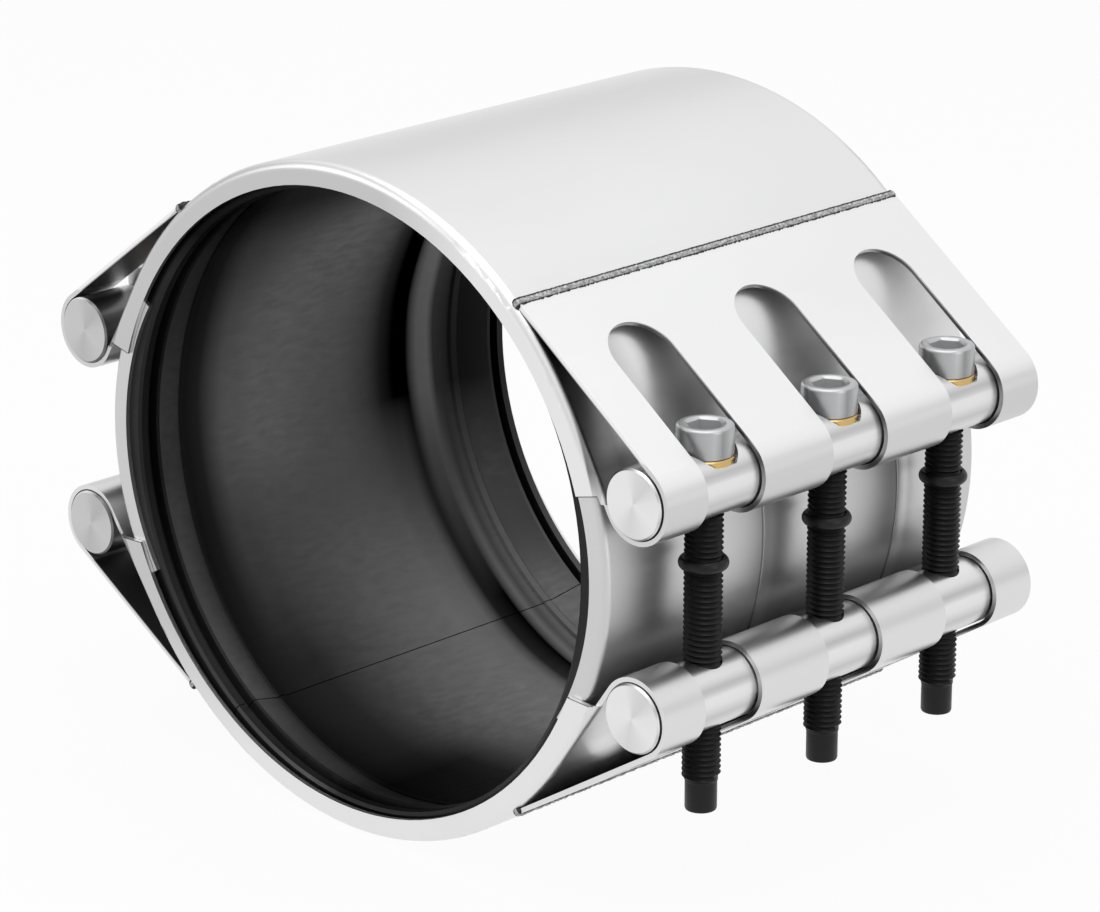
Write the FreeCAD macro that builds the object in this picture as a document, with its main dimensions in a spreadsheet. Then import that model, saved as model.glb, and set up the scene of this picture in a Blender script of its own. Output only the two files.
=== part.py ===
import FreeCAD, Part
import math
import os

import Sketcher

# Repair coupling for a pipe of 200 mm outside diameter.
# All sizes are in millimetres and degrees.
# Y runs along the pipe, X across to the bolted sides and Z up, with the origin in the middle of the bore.

os.makedirs("parts", exist_ok=True)
doc = FreeCAD.newDocument("repair_coupling")

# Driving sizes, one row each: name, value, meaning.
SIZES = [
    ("lip_radius", 100.05, "radius of the sealing lips' crests"),
    ("lip_chamfer", 1.15, "radial depth of the outer lip's chamfer"),
    ("lip_edge", 0.6, "length of the short steps of the lips along the pipe"),
    ("lip_width", 2.7, "width of the outer lip's crest"),
    ("groove_depth", 2.95, "depth of the groove between the lips"),
    ("groove_width", 2.4, "width of the groove between the lips"),
    ("inner_lip_width", 1.3, "width of the inner lip's crest"),
    ("ramp_depth", 3.15, "depth at the foot of the inner lip's long flank"),
    ("ramp_length", 9.8, "length of the inner lip's long flank"),
    ("valley_depth", 3.65, "depth of the valley in front of the ledge"),
    ("valley_width", 1.6, "width of the valley in front of the ledge"),
    ("ledge_depth", 3.35, "depth of the thin ledge behind the lips"),
    ("ledge_width", 2.7, "width of the thin ledge"),
    ("wall_depth", 4.15, "depth of the sleeve's plain wall behind the lips' crests"),
    ("wall_thickness", 3.3, "thickness of the sleeve's plain wall"),
    ("slit_width", 0.35, "width of the lengthwise slit in the sleeve"),
    ("slit_angle", 123.5, "angle of the slit below the horizontal, on the far side"),
    ("sheet", 1.5, "thickness of the casing and bridge sheet"),
    ("arc_drop", 5.2, "how far each arc's centre lies past the bore axis"),
    ("casing_length", 174, "length of the casing along the pipe"),
    ("end_clearance", 0.1, "clearance between a bridge plate's rim and the casing's rim"),
    ("rim_clearance", 1.35, "how far the rim flange's inner edge stands back from the lips at the bottom"),
    ("rim_bend", 3, "outside radius of the bend between the arc and the rim flange"),
    ("upper_rim_rise", 2.6, "how far above its loops the upper rim flange ends"),
    ("lower_rim_rise", 6.6, "how far from its loops the lower rim flange ends"),
    ("upper_rim_tilt", 14, "slope of the upper rim flange's end"),
    ("lower_rim_tilt", 3, "slope of the lower rim flange's end"),
    ("opening_gap", 0.3, "clearance that the upper half keeps over the sleeve"),
    ("bar_diameter", 22, "diameter of a lock bar"),
    ("bar_inset", 0.5, "how far a lock bar's end stands back from the casing's end"),
    ("bar_standoff", 9.8, "distance of a lock bar's axis outside the casing's radius"),
    ("upper_bar_height", 30.4, "height of the upper lock bars' axes over the bore axis, without the clearance"),
    ("lower_bar_height", 36.4, "depth of the lower lock bars' axes under the bore axis"),
    ("bar_chamfer", 0.6, "chamfer on the ends of a lock bar"),
    ("loop_clearance", 0.3, "radial play of a lock bar in its loops, all of it on the outer side"),
    ("loop_inset", 1.5, "how far the loops stand back from the casing's end"),
    ("weld_angle", 48, "angle of the straps' welded edge above the horizontal"),
    ("weld_radius", 1.3, "radius of the weld bead"),
    ("weld_inset", 1.2, "how far the weld bead stands back from the casing's end"),
    ("strap_sink", 1.5, "length of the strap's end that is melted into the arc"),
    ("slot_width", 25, "width of the slots between the straps"),
    ("slot_start", 28, "distance of a slot's round end centre from the welded edge"),
    ("slot_reach", 7.5, "how far a slot passes the screw axis on the inner side"),
    ("screw_inset", 31.4, "distance of the outer screws from the casing's end"),
    ("thread_diameter", 12, "nominal thread diameter"),
    ("thread_clearance", 0.05, "running clearance of the thread in the lower bars"),
    ("pass_clearance", 0.75, "clearance of the shank in the upper bars and the washers' spotfaces"),
    ("spotface_height", 6.5, "height of the spotface above the bar's axis"),
    ("washer_thickness", 2, "thickness of a washer"),
    ("washer_margin", 0.3, "how far a washer stands out from under the screw head"),
    ("washer_clearance", 0.5, "clearance of the shank in a washer"),
    ("washer_edge", 0.4, "edge break of a washer"),
    ("head_diameter", 17.5, "diameter of a screw head"),
    ("head_height", 9.5, "height of a screw head"),
    ("head_round", 1.2, "rounded top edge of a screw head"),
    ("socket_flats", 10, "width across flats of the hexagon socket"),
    ("socket_depth", 5.5, "depth of the hexagon socket"),
    ("shank_length", 113.5, "length of a screw below its head"),
    ("pilot_length", 9.5, "length of the smooth pilot at the tip"),
    ("pilot_depth", 1.05, "how much smaller the pilot's radius is than the thread's"),
    ("pilot_chamfer", 0.8, "chamfer at the end of the pilot"),
    ("stopper_depth", 1.7, "how far the captive ring stands out from the thread at its middle"),
    ("stopper_crown", 1.1, "how much narrower the captive ring is at its ends"),
    ("stopper_height", 3.7, "height of the captive ring"),
    ("stopper_middle", 5.2, "height of the captive ring's middle above the bore axis"),
    ("bridge_clearance", 0.72, "clearance between a bridge plate's long edges and the casing"),
    ("bridge_edge_angle", 28.96, "angle of a bridge plate's long edges, seen from the casing's arc centre"),
    ("bridge_gap", 11.5, "distance from the screw axes in to the middle of a bridge plate"),
    ("bridge_rim_depth", 7, "depth of a bridge plate's rim"),
    ("bridge_bend", 2.2, "outside radius of the bend at a bridge plate's rim"),
]

sheet = doc.addObject("Spreadsheet::Sheet", "sizes")
for row, (name, value, meaning) in enumerate(SIZES, start=1):
    sheet.set("A%d" % row, meaning)
    sheet.set("B%d" % row, str(value))
    sheet.setAlias("B%d" % row, name)
doc.recompute()


def worked_out(label, formulas):
    """Set of values that follow from the driving sizes by formulas, each with its kind and name."""
    worked = doc.addObject("App::VarSet", label)
    for kind, name, formula in formulas:
        worked.addProperty(kind, name, "Worked")
        worked.setExpression(name, formula)
        doc.recompute()


LENGTH = "App::PropertyFloat"
ANGLE = "App::PropertyAngle"

# Sizes that both halves share, built outwards from the pipe.
SHARED = [
    (LENGTH, "wall_radius", "sizes.lip_radius + sizes.wall_depth"),
    (LENGTH, "sleeve_radius", "shared.wall_radius + sizes.wall_thickness"),
    (LENGTH, "inner_radius", "shared.sleeve_radius + sizes.arc_drop"),
    (LENGTH, "casing_radius", "shared.inner_radius + sizes.sheet"),
    (LENGTH, "rim_radius", "sizes.lip_radius + sizes.arc_drop + sizes.rim_clearance"),
    (LENGTH, "sleeve_length", "sizes.casing_length - 4 * sizes.sheet - 2 * sizes.end_clearance"),
    (LENGTH, "screw_spacing", "sizes.casing_length / 2 - sizes.screw_inset"),
    (LENGTH, "bar_length", "sizes.casing_length - 2 * sizes.bar_inset"),
    (LENGTH, "bar_offset", "shared.casing_radius + sizes.bar_standoff"),
    (LENGTH, "loop_offset", "shared.bar_offset + sizes.loop_clearance"),
    (LENGTH, "loop_inner", "sizes.bar_diameter / 2 + sizes.loop_clearance"),
    (LENGTH, "loop_length", "sizes.casing_length - 2 * sizes.loop_inset"),
    (LENGTH, "weld_length", "sizes.casing_length - 2 * sizes.weld_inset"),
    (LENGTH, "thread_radius", "sizes.thread_diameter / 2"),
    (LENGTH, "pilot_radius", "shared.thread_radius - sizes.pilot_depth"),
    (LENGTH, "head_radius", "sizes.head_diameter / 2"),
    (LENGTH, "washer_radius", "shared.head_radius + sizes.washer_margin"),
    (LENGTH, "stopper_radius", "shared.thread_radius + sizes.stopper_depth"),
    (LENGTH, "bridge_edge", "shared.inner_radius - sizes.bridge_clearance"),
    (LENGTH, "bridge_across", "shared.bridge_edge * cos(sizes.bridge_edge_angle)"),
    (LENGTH, "bridge_up", "shared.bridge_edge * sin(sizes.bridge_edge_angle) - sizes.arc_drop"),
    (LENGTH, "bridge_reach", "shared.bar_offset - sizes.bridge_gap"),
    (LENGTH, "bridge_rise", "shared.bridge_reach - shared.bridge_across"),
    (LENGTH, "bridge_radius", "(shared.bridge_up ^ 2 + shared.bridge_rise ^ 2) / (2 * shared.bridge_rise)"),
    (LENGTH, "bridge_offset", "shared.bridge_reach - shared.bridge_radius"),
    (ANGLE, "bridge_half_angle", "asin(shared.bridge_up / shared.bridge_radius)"),
    (LENGTH, "bridge_rim_radius", "shared.bridge_radius - sizes.bridge_rim_depth"),
]
worked_out("shared", SHARED)

# Sizes worked out once for each casing half as drawn arc upwards.
# The sheet leaves the arc at exit_angle, runs straight to the bar's loop and comes back as a strap.
FORMULAS = [
    (LENGTH, "bar_height", "sizes.HALF_bar_height"),
    (LENGTH, "axis_rise", "HALF.bar_height + sizes.arc_drop"),
    (LENGTH, "axis_distance", "hypot(shared.loop_offset; HALF.axis_rise)"),
    (ANGLE, "bar_angle", "atan2(HALF.axis_rise; shared.loop_offset)"),
    (ANGLE, "exit_angle", "HALF.bar_angle + acos((shared.casing_radius + shared.loop_inner) / HALF.axis_distance)"),
    (LENGTH, "exit_across", "shared.casing_radius * cos(HALF.exit_angle)"),
    (LENGTH, "exit_up", "shared.casing_radius * sin(HALF.exit_angle) - sizes.arc_drop"),
    (LENGTH, "inner_across", "shared.inner_radius * cos(HALF.exit_angle)"),
    (LENGTH, "inner_up", "shared.inner_radius * sin(HALF.exit_angle) - sizes.arc_drop"),
    (LENGTH, "rim_end", "HALF.bar_height - shared.loop_inner * sin(HALF.exit_angle) + sizes.HALF_rim_rise"),
    (LENGTH, "rim_slope", "tan(sizes.HALF_rim_tilt)"),
    (LENGTH, "rim_edge_across", "sqrt(shared.rim_radius ^ 2 - (HALF.rim_end + sizes.arc_drop) ^ 2)"),
    (LENGTH, "rim_corner_across",
     "(HALF.inner_across + (HALF.inner_up - HALF.rim_end + HALF.rim_edge_across * HALF.rim_slope)"
     " * tan(HALF.exit_angle)) / (1 + HALF.rim_slope * tan(HALF.exit_angle))"),
    (LENGTH, "rim_corner_up", "HALF.rim_end + (HALF.rim_corner_across - HALF.rim_edge_across) * HALF.rim_slope"),
    (LENGTH, "weld_across", "shared.casing_radius * cos(sizes.weld_angle)"),
    (LENGTH, "weld_up", "shared.casing_radius * sin(sizes.weld_angle) - sizes.arc_drop"),
    (LENGTH, "weld_distance", "hypot(HALF.weld_across - shared.loop_offset; HALF.weld_up - HALF.bar_height)"),
    (ANGLE, "strap_angle",
     "atan2(HALF.weld_up - HALF.bar_height; HALF.weld_across - shared.loop_offset)"
     " - acos(shared.loop_inner / HALF.weld_distance)"),
    (LENGTH, "strap_length", "sqrt(HALF.weld_distance ^ 2 - shared.loop_inner ^ 2)"),
    (LENGTH, "strap_across", "shared.loop_offset + shared.loop_inner * cos(HALF.strap_angle)"),
    (LENGTH, "strap_up", "HALF.bar_height + shared.loop_inner * sin(HALF.strap_angle)"),
]
for half in ("upper", "lower"):
    worked_out(half, [(kind, name, formula.replace("HALF", half)) for kind, name, formula in FORMULAS])

SEAT_HEIGHT = "(sizes.spotface_height + sizes.washer_thickness)"
SLIT_OPENING = "(sizes.slit_width / shared.sleeve_radius * 180 deg / pi)"


# How close two places have to be to count as the same.
NEAR = 0.01


def number(formula):
    """Value of a formula as a plain number, used for the first drawing of a sketch."""
    value = sheet.evalExpression(formula)
    return float(getattr(value, "Value", value))


def body_at(label, across="0", along="0", up="0"):
    """New body whose position follows three formulas."""
    body = doc.addObject("PartDesign::Body", label)
    body.Label = label
    for axis, formula in (("x", across), ("y", along), ("z", up)):
        body.setExpression("Placement.Base." + axis, formula)
    return body


def sketch_on(body, name, role):
    """Empty sketch on one of the body's own origin planes."""
    plane = [item for item in body.Origin.OriginFeatures if item.Role == role][0]
    sketch = body.newObject("Sketcher::SketchObject", name)
    sketch.AttachmentSupport = [(plane, "")]
    sketch.MapMode = "FlatFace"
    return sketch


def outline(sketch, corners, arcs=None):
    """Closed outline through corners given as pairs of formulas.

    arcs maps an edge's number, counted from its first corner, to its radius formula,
    the formulas of its centre and its turning sense. A half circle has no radius formula.
    """
    arcs = arcs or {}
    points = [FreeCAD.Vector(number(across), number(up), 0) for across, up in corners]
    count = len(corners)
    starts = []
    for index in range(count):
        first = points[index]
        last = points[(index + 1) % count]
        if index in arcs:
            radius, centre, sense = arcs[index]
            middle = FreeCAD.Vector(number(centre[0]), number(centre[1]), 0)
            begin, end = (first, last) if sense > 0 else (last, first)
            circle = Part.Circle(middle, FreeCAD.Vector(0, 0, 1), middle.distanceToPoint(first))
            turn_begin = math.atan2(begin.y - middle.y, begin.x - middle.x)
            turn_end = math.atan2(end.y - middle.y, end.x - middle.x)
            if turn_end <= turn_begin:
                turn_end += 2 * math.pi
            edge = sketch.addGeometry(Part.ArcOfCircle(circle, turn_begin, turn_end), False)
            starts.append((edge, 1 if sense > 0 else 2, 2 if sense > 0 else 1))
            if radius:
                mark = sketch.addConstraint(Sketcher.Constraint("Radius", edge, number(radius)))
                sketch.setExpression("Constraints[%d]" % mark, radius)
            else:
                mark = sketch.addConstraint(Sketcher.Constraint("DistanceX", -1, 1, edge, 3, middle.x))
                sketch.setExpression("Constraints[%d]" % mark, centre[0])
        else:
            edge = sketch.addGeometry(Part.LineSegment(first, last), False)
            starts.append((edge, 1, 2))
    for index in range(count):
        edge, start, _ = starts[index]
        before, _, finish = starts[index - 1]
        sketch.addConstraint(Sketcher.Constraint("Coincident", before, finish, edge, start))
        for kind, formula in zip(("DistanceX", "DistanceY"), corners[index]):
            value = number(formula)
            mark = sketch.addConstraint(Sketcher.Constraint(kind, -1, 1, edge, start, value))
            sketch.setExpression("Constraints[%d]" % mark, formula)


def circle_in(sketch, across, up, radius):
    """Full circle whose centre and radius follow formulas."""
    middle = FreeCAD.Vector(number(across), number(up), 0)
    edge = sketch.addGeometry(Part.Circle(middle, FreeCAD.Vector(0, 0, 1), number(radius)), False)
    for kind, formula in (("DistanceX", across), ("DistanceY", up)):
        mark = sketch.addConstraint(Sketcher.Constraint(kind, -1, 1, edge, 3, number(formula)))
        sketch.setExpression("Constraints[%d]" % mark, formula)
    mark = sketch.addConstraint(Sketcher.Constraint("Radius", edge, number(radius)))
    sketch.setExpression("Constraints[%d]" % mark, radius)


def pad(body, sketch, length):
    """Pad to both sides of the sketch by half of the length."""
    feature = body.newObject("PartDesign::Pad", sketch.Name + "_pad")
    feature.Profile = sketch
    feature.SideType = "Symmetric"
    feature.setExpression("Length", length)
    doc.recompute()
    return feature


def pocket(body, sketch, length, other=None):
    """Pocket to both sides, equally or by two lengths: against the sketch's normal, then along it.

    With "none" as the other length it only runs against the normal.
    """
    feature = body.newObject("PartDesign::Pocket", sketch.Name + "_cut")
    feature.Profile = sketch
    feature.setExpression("Length", length)
    if other is None:
        feature.SideType = "Symmetric"
    elif other != "none":
        feature.SideType = "Two sides"
        feature.setExpression("Length2", other)
    doc.recompute()
    return feature


def revolve(body, sketch, angle="360"):
    """Solid of revolution about the sketch's vertical axis."""
    feature = body.newObject("PartDesign::Revolution", sketch.Name + "_turn")
    feature.Profile = sketch
    feature.ReferenceAxis = (sketch, ["V_Axis"])
    feature.setExpression("Angle", angle)
    doc.recompute()
    return feature


def rounded(body, base, edges, radius, name):
    """Fillet on the named edges of the base."""
    feature = body.newObject("PartDesign::Fillet", name)
    feature.Base = (base, edges)
    feature.setExpression("Radius", radius)
    doc.recompute()
    return feature


def edges_where(feature, test):
    """Names of the edges whose sampled points all pass the test."""
    names = []
    for place, edge in enumerate(feature.Shape.Edges, start=1):
        points = edge.discretize(5)
        if all(test(point) for point in points):
            names.append("Edge%d" % place)
    return names


def flank(half, face_across, face_up, height):
    """Formula for the straight's distance from the middle plane at a height."""
    return f"{face_across} + ({face_up} - {height}) * tan({half}.exit_angle)"


def mirrored(formula):
    """Formula with the other sign."""
    return "-(%s)" % formula


# Positions of the three screws along the pipe.
STATIONS = [("front", "-shared.screw_spacing"), ("middle", "0"), ("back", "shared.screw_spacing")]
SIDES = [("right", 1), ("left", -1)]

ARC_CENTRE = ("0", "-sizes.arc_drop")
SLOT_HALF = "sizes.slot_width / 2"


def edges_off_floor(feature, test):
    """Names of the edges that pass the test and aren't level."""
    names = []
    for place, edge in enumerate(feature.Shape.Edges, start=1):
        points = edge.discretize(5)
        rise = max(point.z for point in points) - min(point.z for point in points)
        if rise > number("sizes.sheet") and all(test(point) for point in points):
            names.append("Edge%d" % place)
    return names


def casing_half(label, half, up):
    """Casing half, drawn arc upwards: arc with turned-in rims, straights, loops, welded straps and slots."""
    casing = body_at(label, up=up)
    outer = sketch_on(casing, half + "_casing_outline", "XZ_Plane")
    rim_end_across = flank(half, f"{half}.exit_across", f"{half}.exit_up", f"{half}.rim_end")
    outline(
        outer,
        [
            (f"{half}.exit_across", f"{half}.exit_up"),
            (mirrored(f"{half}.exit_across"), f"{half}.exit_up"),
            (mirrored(rim_end_across), f"{half}.rim_end"),
            (rim_end_across, f"{half}.rim_end"),
        ],
        {0: ("shared.casing_radius", ARC_CENTRE, 1)},
    )
    block = pad(casing, outer, "sizes.casing_length")

    half_length = number("sizes.casing_length / 2")
    floor_height = number(f"{half}.rim_end")

    def on_end_edge(point):
        """True for points of the arc and straights on the block's two end faces."""
        at_end = abs(abs(point.y) - half_length) < NEAR
        above_floor = point.z > floor_height - NEAR
        return at_end and above_floor

    end_edges = edges_off_floor(block, on_end_edge)
    rounded(casing, block, end_edges, "sizes.rim_bend", half + "_rim_bend_outside")

    inner = sketch_on(casing, half + "_casing_inside", "XZ_Plane")
    inner_foot = flank(half, f"{half}.inner_across", f"{half}.inner_up", "0")
    outline(
        inner,
        [
            (f"{half}.inner_across", f"{half}.inner_up"),
            (mirrored(f"{half}.inner_across"), f"{half}.inner_up"),
            (mirrored(inner_foot), "0"),
            (inner_foot, "0"),
        ],
        {0: ("shared.inner_radius", ARC_CENTRE, 1)},
    )
    pocket(casing, inner, "sizes.casing_length - 2 * sizes.sheet")

    rim_hole = sketch_on(casing, half + "_rim_hole", "XZ_Plane")
    circle_in(rim_hole, "0", "-sizes.arc_drop", "shared.rim_radius")
    holed = pocket(casing, rim_hole, "sizes.casing_length + 2 * sizes.sheet")

    inside_length = number("sizes.casing_length / 2 - sizes.sheet")
    arc_drop = number("sizes.arc_drop")
    rim_radius = number("shared.rim_radius")

    def on_inner_corner(point):
        """True for points of the corner between the sheet's inner face and the rim flange."""
        at_rim = abs(abs(point.y) - inside_length) < NEAR
        outside_hole = math.hypot(point.x, point.z + arc_drop) > rim_radius + NEAR
        return at_rim and outside_hole

    corner_edges = edges_off_floor(holed, on_inner_corner)
    rounded(casing, holed, corner_edges, "sizes.rim_bend - sizes.sheet", half + "_rim_bend_inside")

    # The rim flange ends on a slope, from its inner edge up to the sheet.
    trim = sketch_on(casing, half + "_rim_trim", "XZ_Plane")
    trim_foot = f"{half}.rim_end - sizes.sheet"
    trim_corners = [
        (f"{half}.rim_edge_across", trim_foot),
        (flank(half, f"{half}.inner_across", f"{half}.inner_up", f"({trim_foot})"), trim_foot),
        (f"{half}.rim_corner_across", f"{half}.rim_corner_up"),
        (f"{half}.rim_edge_across", f"{half}.rim_end"),
    ]
    outline(trim, trim_corners)
    outline(trim, [(mirrored(across), up) for across, up in trim_corners])
    pocket(casing, trim, "sizes.casing_length + 2 * sizes.sheet")

    # Loops and straps, one closed outline on each side.
    straps = sketch_on(casing, half + "_straps", "XZ_Plane")
    sheet_end_across = flank(half, f"{half}.inner_across", f"{half}.inner_up", f"{half}.rim_end")
    STRAP_END = f"({half}.strap_length + sizes.strap_sink)"
    LOOP_OUTER = "(shared.loop_inner + sizes.sheet)"
    strap_corners = [
        (rim_end_across, f"{half}.rim_end"),
        (f"shared.loop_offset - shared.loop_inner * cos({half}.exit_angle)",
         f"{half}.bar_height - shared.loop_inner * sin({half}.exit_angle)"),
        (f"{half}.strap_across", f"{half}.strap_up"),
        (f"{half}.strap_across - %s * sin({half}.strap_angle)" % STRAP_END,
         f"{half}.strap_up + %s * cos({half}.strap_angle)" % STRAP_END),
        (f"{half}.strap_across - %s * sin({half}.strap_angle) + sizes.sheet * cos({half}.strap_angle)" % STRAP_END,
         f"{half}.strap_up + %s * cos({half}.strap_angle) + sizes.sheet * sin({half}.strap_angle)" % STRAP_END),
        (f"{half}.strap_across + sizes.sheet * cos({half}.strap_angle)",
         f"{half}.strap_up + sizes.sheet * sin({half}.strap_angle)"),
        (f"shared.loop_offset - %s * cos({half}.exit_angle)" % LOOP_OUTER,
         f"{half}.bar_height - %s * sin({half}.exit_angle)" % LOOP_OUTER),
        (sheet_end_across, f"{half}.rim_end"),
    ]
    for side, sign in SIDES:
        corners = strap_corners
        centre = ("shared.loop_offset", f"{half}.bar_height")
        if sign < 0:
            corners = [(mirrored(across), up) for across, up in strap_corners]
            centre = (mirrored("shared.loop_offset"), f"{half}.bar_height")
        outline(straps, corners, {1: ("shared.loop_inner", centre, sign), 5: (LOOP_OUTER, centre, -sign)})
    pad(casing, straps, "shared.loop_length")

    # Weld beads along the straps' ends.
    beads = sketch_on(casing, half + "_weld_beads", "XZ_Plane")
    bead_across = (
        f"{half}.strap_across - %s * sin({half}.strap_angle) + sizes.sheet / 3 * cos({half}.strap_angle)" % STRAP_END
    )
    bead_up = (
        f"{half}.strap_up + %s * cos({half}.strap_angle) + sizes.sheet / 3 * sin({half}.strap_angle)" % STRAP_END
    )
    circle_in(beads, bead_across, bead_up, "sizes.weld_radius")
    circle_in(beads, mirrored(bead_across), bead_up, "sizes.weld_radius")
    pad(casing, beads, "shared.weld_length")

    # Slots that divide each strap into four fingers, first through the strap and then round the loop.
    for side, sign in SIDES:
        slots = sketch_on(casing, f"{half}_{side}_strap_slots", "XY_Plane")
        slots.AttachmentOffset = FreeCAD.Placement(
            FreeCAD.Vector(0, 0, 0), FreeCAD.Rotation(FreeCAD.Vector(0, 1, 0), 30)
        )
        slots.setExpression("AttachmentOffset.Base.x", f"%d * {half}.strap_across" % sign)
        slots.setExpression("AttachmentOffset.Base.z", f"{half}.strap_up")
        slots.setExpression("AttachmentOffset.Rotation.Angle", f"%d * (90 deg - {half}.strap_angle)" % sign)
        doc.recompute()
        slot_end = f"%d * (sizes.slot_start - {half}.strap_length)" % sign
        slot_mouth = "%d * sizes.bar_diameter" % sign
        for station, along in STATIONS:
            low = "%s - %s" % (along, SLOT_HALF)
            high = "%s + %s" % (along, SLOT_HALF)
            outline(
                slots,
                [(slot_end, low), (slot_mouth, low), (slot_mouth, high), (slot_end, high)],
                {3: (None, (slot_end, along), sign)},
            )
        pocket(casing, slots, "sizes.sheet / 2", "sizes.bar_diameter")
        windows = sketch_on(casing, f"{half}_{side}_loop_slots", "XY_Plane")
        windows.AttachmentOffset = FreeCAD.Placement(FreeCAD.Vector(0, 0, 0), FreeCAD.Rotation())
        windows.setExpression("AttachmentOffset.Base.z", f"{half}.bar_height")
        doc.recompute()
        window_in = "%d * (shared.bar_offset - sizes.slot_reach)" % sign
        window_out = "%d * (shared.bar_offset + sizes.bar_diameter)" % sign
        for station, along in STATIONS:
            low = "%s - %s" % (along, SLOT_HALF)
            high = "%s + %s" % (along, SLOT_HALF)
            outline(windows, [(window_in, low), (window_out, low), (window_out, high), (window_in, high)])
        pocket(casing, windows, "sizes.bar_diameter", "shared.loop_inner + 2 * sizes.sheet")
    return casing


upper_casing = casing_half("upper_casing", "upper", "sizes.opening_gap")

# The lower half is drawn arc upwards as well and then turned over.
pressing = casing_half("lower_pressing", "lower", "0")
lower_casing = doc.addObject("Part::Mirroring", "lower_casing")
lower_casing.Label = "lower_casing"
lower_casing.Source = pressing
lower_casing.Normal = FreeCAD.Vector(0, 0, 1)

# Rubber sleeve with two pairs of lips, a thin ledge behind each pair and a lengthwise slit.
sleeve = body_at("sealing_sleeve")
sleeve.Placement.Rotation = FreeCAD.Rotation(FreeCAD.Vector(0, 1, 0), 10)
sleeve.setExpression("Placement.Rotation.Angle", "sizes.slit_angle * 1 deg + %s / 2" % SLIT_OPENING)
section = sketch_on(sleeve, "sleeve_section", "XY_Plane")
HALF_SLEEVE = "shared.sleeve_length / 2"
# Depth behind the lips' crests and distance from the point before, from the sleeve's end to its plain wall.
LIP_STEPS = [
    ("sizes.lip_chamfer", "0"),
    ("0", "sizes.lip_edge"),
    ("0", "sizes.lip_width"),
    ("sizes.groove_depth", "sizes.lip_edge"),
    ("sizes.groove_depth", "sizes.groove_width"),
    ("0", "sizes.lip_edge"),
    ("0", "sizes.inner_lip_width"),
    ("sizes.ramp_depth", "sizes.ramp_length"),
    ("sizes.valley_depth", "sizes.valley_width"),
    ("sizes.ledge_depth", "sizes.lip_edge"),
    ("sizes.ledge_depth", "sizes.ledge_width"),
    ("sizes.wall_depth", "sizes.lip_edge"),
]
LIP_POINTS = []
inset = "0"
for depth, stride in LIP_STEPS:
    inset = inset + " + " + stride
    LIP_POINTS.append(("sizes.lip_radius + " + depth, inset))
front_points = [(radius, "%s - %s" % (inset, HALF_SLEEVE)) for radius, inset in LIP_POINTS]
back_points = [(radius, "%s - (%s)" % (HALF_SLEEVE, inset)) for radius, inset in reversed(LIP_POINTS)]
outline(
    section,
    [("shared.sleeve_radius", "-" + HALF_SLEEVE)]
    + front_points
    + back_points
    + [("shared.sleeve_radius", HALF_SLEEVE)],
)
revolve(sleeve, section, "360 deg - " + SLIT_OPENING)

# Bridge plates that close the gaps between the casing halves, each turned about its own arc's centre.
PLATE_REACH = "(shared.sleeve_length / 2 + sizes.sheet)"
FOLD = "(shared.bridge_radius - sizes.bridge_bend)"
FOLD_ALONG = "(shared.sleeve_length / 2 + sizes.sheet - sizes.bridge_bend)"
PLATE_INSIDE = "(shared.bridge_radius - sizes.sheet)"
for side, sign in SIDES:
    plate = body_at(side + "_bridge_plate", across="%d * shared.bridge_offset" % sign)
    plate.Placement.Rotation = FreeCAD.Rotation(FreeCAD.Vector(0, -1, 0), 10)
    plate.setExpression("Placement.Rotation.Angle", "shared.bridge_half_angle")
    profile = sketch_on(plate, side + "_bridge_section", "XY_Plane")
    corners = [
        ("shared.bridge_rim_radius", "-" + PLATE_REACH),
        (FOLD, "-" + PLATE_REACH),
        ("shared.bridge_radius", "-" + FOLD_ALONG),
        ("shared.bridge_radius", FOLD_ALONG),
        (FOLD, PLATE_REACH),
        ("shared.bridge_rim_radius", PLATE_REACH),
        ("shared.bridge_rim_radius", HALF_SLEEVE),
        (PLATE_INSIDE, HALF_SLEEVE),
        (PLATE_INSIDE, "-" + HALF_SLEEVE),
        ("shared.bridge_rim_radius", "-" + HALF_SLEEVE),
    ]
    fold_across = "%d * %s" % (sign, FOLD)
    outline(
        profile,
        [("%d * %s" % (sign, across), along) for across, along in corners],
        {
            1: ("sizes.bridge_bend", (fold_across, "-" + FOLD_ALONG), sign),
            3: ("sizes.bridge_bend", (fold_across, FOLD_ALONG), sign),
        },
    )
    revolve(plate, profile, "2 * shared.bridge_half_angle")

half_bar = number("shared.bar_length / 2")


def on_bar_end(point):
    """True for points on a bar's two end circles."""
    return abs(abs(point.y) - half_bar) < NEAR


def lock_bar(label, across, up, hole_radius):
    """Plain round bar with chamfered ends and three cross holes."""
    bar = body_at(label, across=across, up=up)
    round_face = sketch_on(bar, label + "_face", "XZ_Plane")
    circle_in(round_face, "0", "0", "sizes.bar_diameter / 2")
    rod = pad(bar, round_face, "shared.bar_length")
    ends = bar.newObject("PartDesign::Chamfer", label + "_ends")
    ends.Base = (rod, edges_where(rod, on_bar_end))
    ends.setExpression("Size", "sizes.bar_chamfer")
    doc.recompute()
    holes = sketch_on(bar, label + "_holes", "XY_Plane")
    for station, along in STATIONS:
        circle_in(holes, "0", along, hole_radius)
    pocket(bar, holes, "sizes.bar_diameter + 2")
    return bar


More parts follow.
